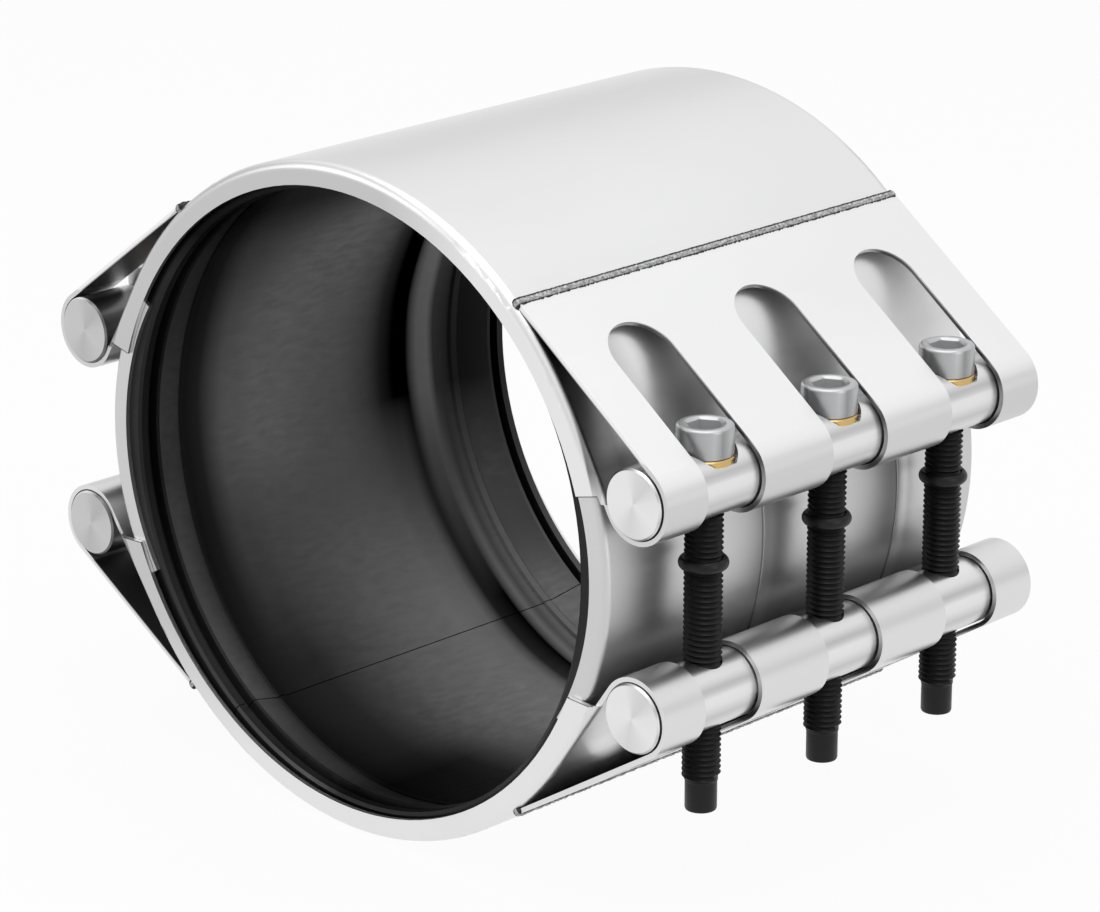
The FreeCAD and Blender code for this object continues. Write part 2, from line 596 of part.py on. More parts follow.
for side, sign in SIDES:
    across = "%d * shared.bar_offset" % sign
    bar = lock_bar(
        side + "_upper_bar",
        across,
        "sizes.upper_bar_height + sizes.opening_gap",
        "shared.thread_radius + sizes.pass_clearance",
    )
    seats = sketch_on(bar, side + "_spotfaces", "XY_Plane")
    seats.AttachmentOffset = FreeCAD.Placement(FreeCAD.Vector(0, 0, 0), FreeCAD.Rotation())
    seats.setExpression("AttachmentOffset.Base.z", "sizes.bar_diameter")
    doc.recompute()
    for station, along in STATIONS:
        circle_in(seats, "0", along, "shared.washer_radius + sizes.pass_clearance")
    pocket(bar, seats, "sizes.bar_diameter - sizes.spotface_height", "none")
    lock_bar(
        side + "_lower_bar",
        across,
        "-sizes.lower_bar_height",
        "shared.thread_radius + sizes.thread_clearance",
    )

# Screws, washers and captive rings, three on each side.
SEAT = "sizes.upper_bar_height + sizes.opening_gap + " + SEAT_HEIGHT
THREAD_RADIUS = "shared.thread_radius"
PILOT_RADIUS = "shared.pilot_radius"
HEAD_RADIUS = "shared.head_radius"
SHOULDER = "(sizes.pilot_length - sizes.shank_length)"
WASHER_BORE = "shared.thread_radius + sizes.washer_clearance"
for side, sign in SIDES:
    across = "%d * shared.bar_offset" % sign
    for station, along in STATIONS:
        place = side + "_" + station
        screw = body_at(place + "_screw", across, along, SEAT)
        turned = sketch_on(screw, place + "_screw_section", "XZ_Plane")
        outline(
            turned,
            [
                ("0", "-sizes.shank_length"),
                (PILOT_RADIUS + " - sizes.pilot_chamfer", "-sizes.shank_length"),
                (PILOT_RADIUS, "sizes.pilot_chamfer - sizes.shank_length"),
                (PILOT_RADIUS, SHOULDER),
                (THREAD_RADIUS, SHOULDER + " + sizes.pilot_depth"),
                (THREAD_RADIUS, "0"),
                (HEAD_RADIUS, "0"),
                (HEAD_RADIUS, "sizes.head_height - sizes.head_round"),
                (HEAD_RADIUS + " - sizes.head_round", "sizes.head_height"),
                ("0", "sizes.head_height"),
            ],
            {7: ("sizes.head_round", (HEAD_RADIUS + " - sizes.head_round",
                                      "sizes.head_height - sizes.head_round"), 1)},
        )
        revolve(screw, turned)
        socket = sketch_on(screw, place + "_socket", "XY_Plane")
        socket.AttachmentOffset = FreeCAD.Placement(FreeCAD.Vector(0, 0, 0), FreeCAD.Rotation())
        socket.setExpression("AttachmentOffset.Base.z", "sizes.head_height")
        doc.recompute()
        outline(
            socket,
            [
                ("sizes.socket_flats / sqrt(3) * cos(%d)" % turn, "sizes.socket_flats / sqrt(3) * sin(%d)" % turn)
                for turn in range(0, 360, 60)
            ],
        )
        pocket(screw, socket, "sizes.socket_depth", "none")
        washer = body_at(place + "_washer", across, along, SEAT + " - sizes.washer_thickness")
        flat_ring = sketch_on(washer, place + "_washer_section", "XZ_Plane")
        outline(
            flat_ring,
            [
                (WASHER_BORE, "0"),
                ("shared.washer_radius", "0"),
                ("shared.washer_radius", "sizes.washer_thickness - sizes.washer_edge"),
                ("shared.washer_radius - sizes.washer_edge", "sizes.washer_thickness"),
                (WASHER_BORE, "sizes.washer_thickness"),
            ],
        )
        revolve(washer, flat_ring)
        ring = body_at(place + "_captive_ring", across, along, "sizes.stopper_middle")
        barrel = sketch_on(ring, place + "_ring_section", "XZ_Plane")
        end_radius = "shared.stopper_radius - sizes.stopper_crown"
        half_height = "sizes.stopper_height / 2"
        crown_radius = "((%s) ^ 2 / (2 * sizes.stopper_crown) + sizes.stopper_crown / 2)" % half_height
        outline(
            barrel,
            [
                (THREAD_RADIUS, "-" + half_height),
                (end_radius, "-" + half_height),
                (end_radius, half_height),
                (THREAD_RADIUS, half_height),
            ],
            {1: (crown_radius, ("shared.stopper_radius - " + crown_radius, "0"), 1)},
        )
        revolve(ring, barrel)

doc.recompute()

# Every object has to be sound before it is written out.
for item in doc.Objects:
    if "Invalid" in item.State or "Error" in item.State:
        raise RuntimeError("%s did not build: %s" % (item.Name, item.State))

bodies = [item for item in doc.Objects if item.TypeId == "PartDesign::Body" and item is not pressing]
nodes = bodies + [lower_casing]
for node in nodes:
    shape = node.Shape
    if shape.isNull() or not shape.isValid() or len(shape.Solids) != 1:
        raise RuntimeError("%s is not one sound solid" % node.Label)
    shape.exportStep("parts/%s.step" % node.Label)
print("%d parts written" % len(nodes))
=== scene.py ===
import logging
import math
from dataclasses import dataclass, field
from enum import Enum, IntEnum
from typing import Callable, Iterable, Optional, Sequence, Union

import bmesh
import bpy
from mathutils import Matrix, Vector


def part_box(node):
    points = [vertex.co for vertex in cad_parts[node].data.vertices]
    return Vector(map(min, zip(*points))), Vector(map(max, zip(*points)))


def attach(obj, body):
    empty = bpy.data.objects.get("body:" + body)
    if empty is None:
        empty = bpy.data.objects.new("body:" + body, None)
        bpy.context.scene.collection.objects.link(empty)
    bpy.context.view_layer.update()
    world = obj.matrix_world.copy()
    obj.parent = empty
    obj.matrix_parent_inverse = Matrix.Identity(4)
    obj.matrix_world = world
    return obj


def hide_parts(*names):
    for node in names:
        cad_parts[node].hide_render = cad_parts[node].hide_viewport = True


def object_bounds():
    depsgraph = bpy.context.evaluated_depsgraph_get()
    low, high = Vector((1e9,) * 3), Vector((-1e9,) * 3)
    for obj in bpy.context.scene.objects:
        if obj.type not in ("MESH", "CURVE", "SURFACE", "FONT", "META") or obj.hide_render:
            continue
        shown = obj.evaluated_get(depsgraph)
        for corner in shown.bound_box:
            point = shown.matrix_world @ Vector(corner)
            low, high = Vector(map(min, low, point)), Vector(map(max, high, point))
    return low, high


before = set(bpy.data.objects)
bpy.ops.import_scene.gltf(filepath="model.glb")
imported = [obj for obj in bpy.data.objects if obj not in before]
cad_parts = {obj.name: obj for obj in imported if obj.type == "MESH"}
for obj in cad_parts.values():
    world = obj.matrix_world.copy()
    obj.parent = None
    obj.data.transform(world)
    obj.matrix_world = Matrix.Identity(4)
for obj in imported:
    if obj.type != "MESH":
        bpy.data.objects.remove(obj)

Socket = bpy.types.NodeSocket
Value = Union[float, Socket]
Pair = tuple[float, float]
Triple = tuple[float, float, float]
Radius = Callable[[float], float]

LOG = logging.getLogger("repair_coupling")
MM = 0.001
CAD_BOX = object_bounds()
SCREW_OFFSET = 124.0
SCREW_SPACING = 55.6
NOISE_RANGE = (0.3, 0.7)
SOFT_DETAIL = 2.0


class Worded(Enum):
    """Choice whose name is used in node names."""

    @property
    def word(self) -> str:
        """Choice's name in lower case."""
        return self.name.lower()


class Side(Worded):
    """Bolted side of the coupling, by the sign of X."""

    RIGHT = 1
    LEFT = -1


class Station(Worded):
    """Place of a screw along the pipe, in screw spacings."""

    FRONT = -1
    MIDDLE = 0
    BACK = 1


class Half(Worded):
    """Casing half, by the sign of Z."""

    UPPER = 1
    LOWER = -1

    @property
    def body(self) -> str:
        """Rigid body that the half belongs to."""
        return self.word + "_half"


class Zone(IntEnum):
    """Material slot of a screw's surface."""

    HEAD = 0
    THREAD = 1
    SOCKET = 2


@dataclass(frozen=True)
class CasingSizes:
    """Sizes of one pressed casing half, in millimetres and degrees."""

    half: Half
    lift: float
    bar_height: float
    slant: float
    radius: float = 114.2
    arc_drop: float = 5.2
    loop_offset: float = 124.3
    loop_inner: float = 11.3
    sheet: float = 1.5


CASINGS = {
    Half.UPPER: CasingSizes(Half.UPPER, lift=0.3, bar_height=30.4, slant=53.65),
    Half.LOWER: CasingSizes(Half.LOWER, lift=0.0, bar_height=36.4, slant=57.98),
}


class Graph:
    """Short hand for adding and linking nodes in one node tree."""

    def __init__(self, tree: bpy.types.NodeTree) -> None:
        """Keeps the tree to add to."""
        self.tree = tree

    def add(self, kind: str, inputs: Optional[dict] = None, **settings: object) -> bpy.types.Node:
        """Adds a node, sets its properties and fills or links its inputs.

        Args:
            kind: Node type name.
            inputs: Socket name or index to a plain value or to an output socket.
            settings: Node properties.

        Returns:
            The new node.
        """
        node = self.tree.nodes.new(kind)
        for name, value in settings.items():
            setattr(node, name, value)
        for key, value in (inputs or {}).items():
            socket = node.inputs[key]
            if isinstance(value, Socket):
                self.tree.links.new(value, socket)
            else:
                socket.default_value = value
        return node

    def math(self, operation: str, *values: Value, clamp: bool = False) -> Socket:
        """Adds a Math node.

        Args:
            operation: Math operation.
            values: Its one, two or three operands.
            clamp: Whether the result stays between 0 and 1.

        Returns:
            The result's socket.
        """
        inputs = dict(enumerate(values))
        return self.add("ShaderNodeMath", inputs, operation=operation, use_clamp=clamp).outputs[0]

    def less(self, first: Value, second: Value) -> Socket:
        """Subtracts the second value from the first."""
        return self.math("SUBTRACT", first, second)

    def size(self, value: Socket) -> Socket:
        """Value without its sign."""
        return self.math("ABSOLUTE", value)

    def product(self, first: Socket, *others: Value) -> Socket:
        """Multiplies values.

        Args:
            first: First factor.
            others: Further factors.

        Returns:
            The product's socket.
        """
        for other in others:
            first = self.math("MULTIPLY", first, other)
        return first

    def weakened(self, mask: Socket, share: float) -> Socket:
        """Factor that is 1 outside a mask and the given share inside it."""
        return self.less(1.0, self.product(mask, 1 - share))

    def mix(self, mask: Socket, inside: Value, outside: Socket) -> Socket:
        """Takes one value inside a mask and another outside it.

        Args:
            mask: Mask between 0 and 1.
            inside: Value where the mask is 1.
            outside: Value where the mask is 0.

        Returns:
            The mixed value's socket.
        """
        return self.math("ADD", self.product(mask, inside), self.product(outside, self.less(1.0, mask)))

    def ramp(self, value: Socket, stops: Sequence[Pair]) -> Socket:
        """Adds a grey colour ramp.

        Args:
            value: Socket that drives it.
            stops: Pairs of position and grey level.

        Returns:
            The colour socket.
        """
        node = self.add("ShaderNodeValToRGB", {0: value})
        band = node.color_ramp
        while len(band.elements) < len(stops):
            band.elements.new(0.5)
        for element, (position, level) in zip(band.elements, stops):
            element.position = position
            element.color = (level, level, level, 1.0)
        return node.outputs[0]

    def span(
        self, value: Socket, start: float, end: float, low: float = 0.0, high: float = 1.0,
        smooth: bool = False,
    ) -> Socket:
        """Maps a span of a value, clamped at both ends.

        Args:
            value: Socket to read.
            start: Value at which the result is low.
            end: Value at which the result is high.
            low: First result.
            high: Last result.
            smooth: Whether the change eases in and out.

        Returns:
            The result's socket.
        """
        inputs = {"Value": value, "From Min": start, "From Max": end, "To Min": low, "To Max": high}
        kind = "SMOOTHSTEP" if smooth else "LINEAR"
        return self.add("ShaderNodeMapRange", inputs, interpolation_type=kind).outputs[0]

    def span_mm(self, value: Socket, limits: Pair, low: float = 0.0, high: float = 1.0) -> Socket:
        """Maps a span whose limits are in millimetres."""
        return self.span(value, limits[0] * MM, limits[1] * MM, low, high)

    def scaled(self, colour: Union[Triple, Socket], factor: Socket) -> Socket:
        """Multiplies a colour by a number."""
        return self.add("ShaderNodeVectorMath", {0: colour, "Scale": factor}, operation="SCALE").outputs[0]

    def axes(self, output: str = "Object") -> bpy.types.bpy_prop_collection:
        """X, Y and Z sockets of the object coordinates or of the surface normal.

        Args:
            output: Texture Coordinate output to split.

        Returns:
            The three sockets.
        """
        place = self.add("ShaderNodeTexCoord").outputs[output]
        return self.add("ShaderNodeSeparateXYZ", {0: place}).outputs

    def reach(self, across: Socket, up: Socket) -> Socket:
        """Length of the arm with two given parts."""
        squares = self.math("ADD", self.product(across, across), self.product(up, up))
        return self.math("SQRT", squares)

    def noise(self, scale: float, stretch: Triple = (1, 1, 1), detail: float = 3.0) -> Socket:
        """Adds noise on object coordinates.

        Args:
            scale: Noise scale per metre.
            stretch: Factors along X, Y and Z before the noise is read.
            detail: Octaves.

        Returns:
            The noise value's socket.
        """
        place = self.add("ShaderNodeTexCoord").outputs["Object"]
        scaled = self.add("ShaderNodeMapping", {"Vector": place, "Scale": stretch}).outputs[0]
        inputs = {"Vector": scaled, "Scale": scale, "Detail": detail, "Roughness": 0.5}
        return self.add("ShaderNodeTexNoise", inputs).outputs[0]


class Surface(Graph):
    """Node graph of one new material, with its shader."""

    def __init__(self, name: str, colour: Triple, levels: dict[str, float]) -> None:
        """Makes the material and sets the shader's constants.

        Args:
            name: Material's name.
            colour: Base colour.
            levels: Shader input to value.
        """
        self.material = bpy.data.materials.new(name)
        self.material.use_nodes = True
        super().__init__(self.material.node_tree)
        self.shader = self.tree.nodes["Principled BSDF"]
        self.shader.inputs["Base Color"].default_value = (*colour, 1.0)
        for label, level in levels.items():
            self.shader.inputs[label].default_value = level

    def drive(self, label: str, source: Socket) -> None:
        """Links a socket to one of the shader's inputs."""
        self.tree.links.new(source, self.shader.inputs[label])

    def tint(self, factor: Socket) -> None:
        """Multiplies the base colour that the shader has so far."""
        colour = self.shader.inputs["Base Color"]
        base = colour.links[0].from_socket if colour.links else colour.default_value[:3]
        self.drive("Base Color", self.scaled(base, factor))

    def bump(self, height: Socket, distance: float = 1.0) -> None:
        """Adds relief to what the shader's normal has so far.

        Args:
            height: Height's socket.
            distance: Metres that a height of 1 stands for.
        """
        inputs = {"Height": height, "Strength": 1.0, "Distance": distance}
        normal = self.shader.inputs["Normal"]
        if normal.links:
            inputs["Normal"] = normal.links[0].from_socket
        self.drive("Normal", self.add("ShaderNodeBump", inputs).outputs[0])


@dataclass(frozen=True)
class Finish:
    """Finish of one material: constants of the surface, and the grain and clouds that vary over it."""

    name: str
    colour: Triple
    roughness: float
    metallic: float = 1.0
    specular: float = 0.5
    grain_scale: float = 900.0
    grain_stretch: Triple = (1, 1, 1)
    grain_spread: float = 0.05
    grain_bump: float = 0.002
    cloud_scale: float = 14.0
    cloud_stretch: Triple = (1, 0.6, 1)
    cloud_spread: float = 0.0

    def surface(self, name: str = "") -> Surface:
        """Makes the material.

        Args:
            name: Material's name where it isn't the finish's.

        Returns:
            The material's graph, for further tones.
        """
        surface = Surface(name or self.name, self.colour, {
            "Metallic": self.metallic, "Roughness": self.roughness, "Specular IOR Level": self.specular,
        })
        grain = surface.noise(self.grain_scale, self.grain_stretch)
        levels = (max(0.0, self.roughness - self.grain_spread), self.roughness + self.grain_spread)
        surface.drive("Roughness", surface.span(grain, *NOISE_RANGE, *levels))
        surface.bump(grain, self.grain_bump * MM)
        if self.cloud_spread:
            cloud = surface.noise(self.cloud_scale, self.cloud_stretch, SOFT_DETAIL)
            surface.tint(surface.span(cloud, *NOISE_RANGE, 1 - self.cloud_spread, 1.0))
        return surface

    def build(self) -> bpy.types.Material:
        """Makes the material without further tones."""
        return self.surface().material


SHEET = Finish(
    "rolled_sheet", (0.86, 0.86, 0.865), 0.34, grain_scale=700.0, grain_stretch=(1, 0.05, 1),
    grain_spread=0.02, grain_bump=0.0006, cloud_spread=0.04,
)
PLATE = Finish(
    "plate_sheet", (0.78, 0.78, 0.785), 0.42, grain_scale=700.0, grain_stretch=(1, 0.05, 1),
    grain_spread=0.02, grain_bump=0.0006, cloud_spread=0.04,
)
HEAD = Finish("polished_head", (0.50, 0.505, 0.51), 0.34, metallic=0.75, grain_spread=0.04, grain_bump=0.003)
SOCKET = Finish("socket_steel", (0.50, 0.50, 0.505), 0.45, metallic=0.4)
THREAD = Finish(
    "black_thread", (0.005, 0.005, 0.0055), 0.40, metallic=0.0, specular=0.24, grain_scale=2600.0,
    grain_spread=0.08, grain_bump=0.03,
)
BRASS = Finish("washer_brass", (0.60, 0.42, 0.17), 0.28, grain_scale=2000.0, grain_bump=0.004)
RING = Finish("ring_black", (0.005, 0.005, 0.0055), 0.36, metallic=0.0, specular=0.26, grain_spread=0.04)
RUBBER = Finish(
    "moulded_rubber", (0.031, 0.031, 0.033), 0.36, metallic=0.0, specular=0.7, grain_scale=500.0,
    grain_stretch=(1, 0.3, 1), grain_bump=0.012,
)
WELD = Finish(
    "weld_metal", (0.52, 0.52, 0.525), 0.45, grain_scale=2400.0, grain_spread=0.12, grain_bump=0.06,
    cloud_scale=1500.0, cloud_spread=0.7,
)


@dataclass(frozen=True)
class RibShade:
    """Shallow ribs that run round a bridge plate, with painted shade and highlights; sizes in millimetres."""

    starts: Pair = (-16.0, 47.0)
    width: float = 6.0
    height: float = 0.35
    rise: float = 0.5
    shade_reach: Pair = (-0.8, 7.2)
    # ramp stops of the painted shadow line at each rib's foot and the painted highlight on its crest, as
    # shares of the level
    line: tuple[Pair, ...] = ((0.0, 0.8), (0.07, 0.34), (0.13, 0.34), (0.2, 0.95), (0.55, 1.0), (1.0, 0.8))
    level: float = 0.8

    def build(self, finish: Finish) -> bpy.types.Material:
        """Makes the plate's finish with its ribs: a quick rise with a painted shadow line in front and a
        painted highlight on its top, a slow fall behind.

        Args:
            finish: Plate's finish.

        Returns:
            The material.
        """
        surface = finish.surface()
        along = surface.axes()["Y"]
        relief: Value = 0.0
        shade: Value = self.level
        for start in self.starts:
            edges = [place * MM for place in (start, start + self.rise, start + self.width)]
            rise = surface.span(along, edges[0], edges[1], 0.0, self.height * MM, smooth=True)
            fall = surface.span(along, edges[1], edges[2], 0.0, self.height * MM, smooth=True)
            relief = surface.math("ADD", surface.less(rise, fall), relief)
            share = surface.span_mm(along, (start + self.shade_reach[0], start + self.shade_reach[1]))
            # painted shade and highlight: darkens a line at the rib's foot and lightens a band on its crest
            shade = surface.product(surface.ramp(share, self.line), 1 / self.level, shade)
        surface.bump(relief)
        surface.tint(shade)
        return surface.material


@dataclass(frozen=True)
class HeadShade:
    """Painted reflections: upright light and dark stripes round the screw heads' sides."""

    painted_reflections: tuple[Pair, ...] = (
        (0.0, 0.8), (0.13, 0.45), (0.19, 0.9), (0.26, 0.5), (0.33, 0.85), (0.42, 0.95), (0.47, 0.55),
        (0.53, 0.9), (0.60, 1.0), (0.64, 0.55), (0.75, 0.8), (0.85, 0.6), (1.0, 0.8),
    )
    top_facing: Pair = (0.35, 0.75)

    def build(self, finish: Finish) -> bpy.types.Material:
        """Makes the head's finish with its painted reflection stripes, by the angle round the nearest screw's
        axis.

        Args:
            finish: Head's finish.

        Returns:
            The material.
        """
        surface = finish.surface()
        place = surface.axes()
        middle = surface.product(surface.math("SIGN", place["X"]), SCREW_OFFSET * MM)
        station = surface.math("ROUND", surface.math("DIVIDE", place["Y"], SCREW_SPACING * MM))
        along = surface.less(place["Y"], surface.product(station, SCREW_SPACING * MM))
        turn = surface.math("ARCTAN2", along, surface.less(place["X"], middle))
        # painted reflections: light and dark stripes by the angle round the screw, the head's top left out
        painted_reflection = surface.ramp(surface.span(turn, -math.pi, math.pi), self.painted_reflections)
        top = surface.span(surface.axes("Normal")["Z"], *self.top_facing)
        surface.tint(surface.mix(top, 1.0, painted_reflection))
        return surface.material


@dataclass(frozen=True)
class SleeveShade:
    """Painted sheen and shade on the sleeve's inside, in zones along and round the pipe; sizes in
    millimetres.
    """

    reach: float = 90.0
    # painted sheen and shade along the pipe on the side walls, as place and level; the floor's stops follow
    wall: tuple[Pair, ...] = (
        (-84, 0.14), (-70, 0.11), (-62, 0.07), (-56, 0.12), (-46, 0.80), (-32, 0.90), (-19, 0.80), (-5, 0.60),
        (9, 0.47), (20, 0.26), (28, 0.05), (34, 0.0), (41, 0.0), (46, 0.55), (51, 0.60), (54, 0.12),
        (62, 0.05), (80, 0.10),
    )
    floor: tuple[Pair, ...] = (
        (-84, 0.40), (-74, 0.50), (-63, 0.08), (-52, 0.14), (-40, 0.17), (-29, 0.34), (-18, 0.52), (-7, 0.72),
        (4, 0.84), (25, 1.0), (36, 0.80), (42, 0.05), (50, 0.0), (54, 0.78), (57, 0.35), (61, 0.75),
        (68, 0.85), (80, 0.50),
    )
    wall_to_floor: Pair = (-15.0, -82.0)
    roof: Pair = (58.0, 74.0)
    roof_shade: float = 0.22
    keel: Pair = (-22.0, -6.0)
    front: Pair = (-12.0, -28.0)
    keel_shade: float = 0.25
    wander: float = 8.0
    wander_scale: float = 9.0

    def stops(self, places: Sequence[Pair]) -> list[Pair]:
        """Turns pairs of place along the pipe and level into ramp stops."""
        return [((place + self.reach) / (2 * self.reach), level) for place, level in places]

    def build(self, finish: Finish) -> bpy.types.Material:
        """Makes the rubber with its painted sheen and shade.

        Args:
            finish: Rubber's finish.

        Returns:
            The material.
        """
        surface = finish.surface()
        place = surface.axes()
        noise = surface.noise(self.wander_scale, detail=SOFT_DETAIL)
        wander = surface.math("MULTIPLY_ADD", noise, self.wander * MM, -self.wander / 2 * MM)
        along = surface.span_mm(surface.math("ADD", place["Y"], wander), (-self.reach, self.reach))
        down = surface.span_mm(place["Z"], self.wall_to_floor)
        wall, floor = (surface.ramp(along, self.stops(places)) for places in (self.wall, self.floor))
        # painted shade towards the top, and on the floor near the front
        roof = surface.span_mm(place["Z"], self.roof, 1.0, self.roof_shade)
        keel = surface.product(
            surface.span_mm(place["X"], self.keel), surface.span_mm(place["Y"], self.front), down
        )
        sheen = surface.product(surface.mix(down, floor, wall), roof, surface.weakened(keel, self.keel_shade))
        surface.tint(sheen)
        # the painted sheen also sets the specular level
        surface.drive("Specular IOR Level", surface.product(sheen, 2 * finish.specular))
        return surface.material


@dataclass(frozen=True)
class SheetShade:
    """Tones of one casing half, mostly painted shade: drum, straps, loops, rims, cut edges and the dim space
    under the straps.

    Shares multiply the sheet's colour. Spans are in millimetres, or in parts of the normal where they say
    what a surface is facing.
    """

    casing: CasingSizes
    rim_end: float
    rim_across: float
    rim_tilt: float
    strap: float
    loop_turn: float
    under_right: float
    under_left: float = 0.30
    drum: float = 0.93
    rim: float = 0.70
    edge: float = 0.22
    # share of the painted shadow line in the rim's seam
    joint: float = 0.08
    joint_width: Pair = (0.35, 0.21)
    strap_start: Pair = (76.0, 84.0)
    strap_foot: Pair = (-6.0, 6.0)
    drum_proud: Pair = (0.1, 0.5)
    loop_margin: Pair = (0.3, 0.8)
    loop_facing: Pair = (0.5, 0.1)
    under_depth: Pair = (0.9, 1.4)
    under_proud: Pair = (-0.8, -0.3)
    under_sides: Pair = (-10.0, 10.0)
    under_reach: Pair = (-54.0, -74.0)
    edge_facing: Pair = (0.35, 0.55)
    edge_reach: Pair = (81.0, 79.0)
    edge_depth: Pair = (0.35, 0.6)
    edge_proud: Pair = (0.4, 0.8)
    front_facing: Pair = (-0.5, -0.8)
    front_proud: Pair = (1.2, 0.8)
    shadow_up: Pair = (-96.0, -60.0)
    shadow_across: Pair = (60.0, 20.0)

    def build(self, finish: Finish) -> bpy.types.Material:
        """Makes the sheet's finish with its painted shade zones.

        Args:
            finish: Sheet's finish.

        Returns:
            The material.
        """
        surface = finish.surface(self.casing.half.word + "_sheet")
        zones = SheetZones(self, surface)
        surface.tint(surface.product(
            zones.under_straps(), zones.cut_edges(), zones.rims(), zones.drum(), zones.joints(), zones.loops()
        ))
        return surface.material


class SheetZones:
    """Factors of a casing half's zones, as sockets in its material's graph."""

    def __init__(self, shade: SheetShade, surface: Surface) -> None:
        """Finds the places that several zones use.

        Args:
            shade: Tones and limits of the zones.
            surface: Material's graph.
        """
        casing = shade.casing
        self.shade, self.graph = shade, surface
        self.place, self.normal = surface.axes(), surface.axes("Normal")
        self.aside = surface.size(self.place["X"])
        self.height = surface.less(surface.product(self.place["Z"], casing.half.value), casing.lift * MM)
        centred = surface.math("ADD", self.height, casing.arc_drop * MM)
        self.proud = surface.less(surface.reach(self.place["X"], centred), casing.radius * MM)
        across = surface.less(self.aside, casing.loop_offset * MM)
        above = surface.less(self.height, casing.bar_height * MM)
        lean = math.radians(casing.slant)
        along = surface.math(
            "ADD", surface.product(across, math.cos(lean)), surface.product(above, math.sin(lean))
        )
        loop_outer = (casing.loop_inner + casing.sheet) * MM
        self.depth = surface.less(loop_outer, along)
        past_loop = surface.less(surface.reach(across, above), loop_outer)
        self.off_loop = surface.span_mm(past_loop, shade.loop_margin)
        self.straps = surface.product(
            surface.span_mm(self.aside, shade.strap_start), surface.span_mm(above, shade.strap_foot)
        )
        facing = surface.span(self.normal["Y"], *shade.front_facing)
        self.front = surface.product(facing, surface.span_mm(self.proud, shade.front_proud))

    def under_straps(self) -> Socket:
        """Dims the space under the straps, near the front.

        Returns:
            The factor's socket.
        """
        graph, shade = self.graph, self.shade
        hidden = graph.product(
            self.straps, graph.span_mm(self.depth, shade.under_depth),
            graph.span_mm(self.proud, shade.under_proud), self.off_loop,
        )
        near = graph.span_mm(self.place["Y"], shade.under_reach)
        sides = (1 - shade.under_left, 1 - shade.under_right)
        share = graph.span_mm(self.place["X"], shade.under_sides, *sides)
        return graph.less(1.0, graph.product(hidden, near, share))

    def cut_edges(self) -> Socket:
        """Darkens the slots' cut edges.

        Returns:
            The factor's socket.
        """
        graph, shade = self.graph, self.shade
        cut = graph.product(
            graph.span(graph.size(self.normal["Y"]), *shade.edge_facing),
            graph.span_mm(graph.size(self.place["Y"]), shade.edge_reach), self.straps,
            graph.span_mm(self.depth, shade.edge_depth), graph.span_mm(self.proud, shade.edge_proud),
        )
        return graph.weakened(cut, shade.edge)

    def rims(self) -> Socket:
        """Shades the front rim towards the left.

        Returns:
            The factor's socket.
        """
        graph, shade = self.graph, self.shade
        shadow = graph.product(
            self.front, graph.span_mm(self.place["Z"], shade.shadow_up),
            graph.span_mm(self.place["X"], shade.shadow_across),
        )
        return graph.weakened(shadow, shade.rim)

    def joints(self) -> Socket:
        """Draws a painted shadow line in the seam where the front rim's end meets the bridge plate.

        Returns:
            The factor's socket.
        """
        graph, shade = self.graph, self.shade
        outward = graph.less(self.aside, shade.rim_across * MM)
        slope = graph.product(outward, math.tan(math.radians(shade.rim_tilt)))
        past = graph.less(graph.less(self.height, shade.rim_end * MM), slope)
        return graph.weakened(graph.product(self.front, graph.span_mm(past, shade.joint_width)), shade.joint)

    def drum(self) -> Socket:
        """Sets the drum's tone against the straps that stand off it, as painted light and shade by how light
        falls on them.
        """
        return self.graph.span_mm(self.proud, self.shade.drum_proud, self.shade.drum, self.shade.strap)

    def loops(self) -> Socket:
        """Shades the loops where they turn down round the bar.

        Returns:
            The factor's socket.
        """
        graph, shade = self.graph, self.shade
        upward = graph.product(self.normal["Z"], shade.casing.half.value)
        turned = graph.product(graph.span(upward, *shade.loop_facing), graph.less(1.0, self.off_loop))
        return graph.weakened(turned, shade.loop_turn)


